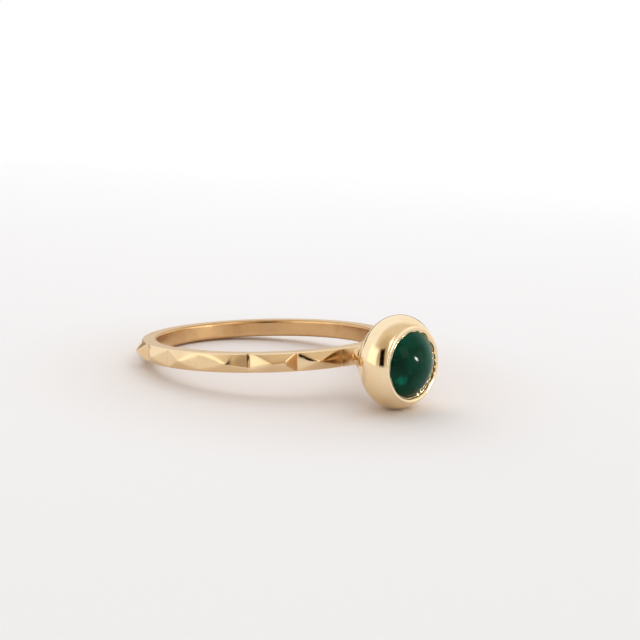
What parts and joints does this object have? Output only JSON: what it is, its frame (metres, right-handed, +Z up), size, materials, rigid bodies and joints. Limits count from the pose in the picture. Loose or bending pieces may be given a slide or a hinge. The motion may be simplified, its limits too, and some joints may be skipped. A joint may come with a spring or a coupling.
{
  "type": "stackable ring",
  "caption": "Slender gold stacking ring with low pyramids round the band and a domed bezel on an open basket holding a green cabochon.",
  "frame": {"origin": "on the surface that the ring lies on, under the middle of its outline", "axes": "+Z up from the surface, +X the way the stone points, apart from the small tilt that the ring rests at"},
  "size_m": [0.026, 0.0198, 0.0067],
  "materials": {
    "gold": "polished",
    "green_stone": "polished"
  },
  "bodies": {
    "root": {"ring_metal": "gold", "cabochon": "green_stone"}
  },
  "joints": []
}
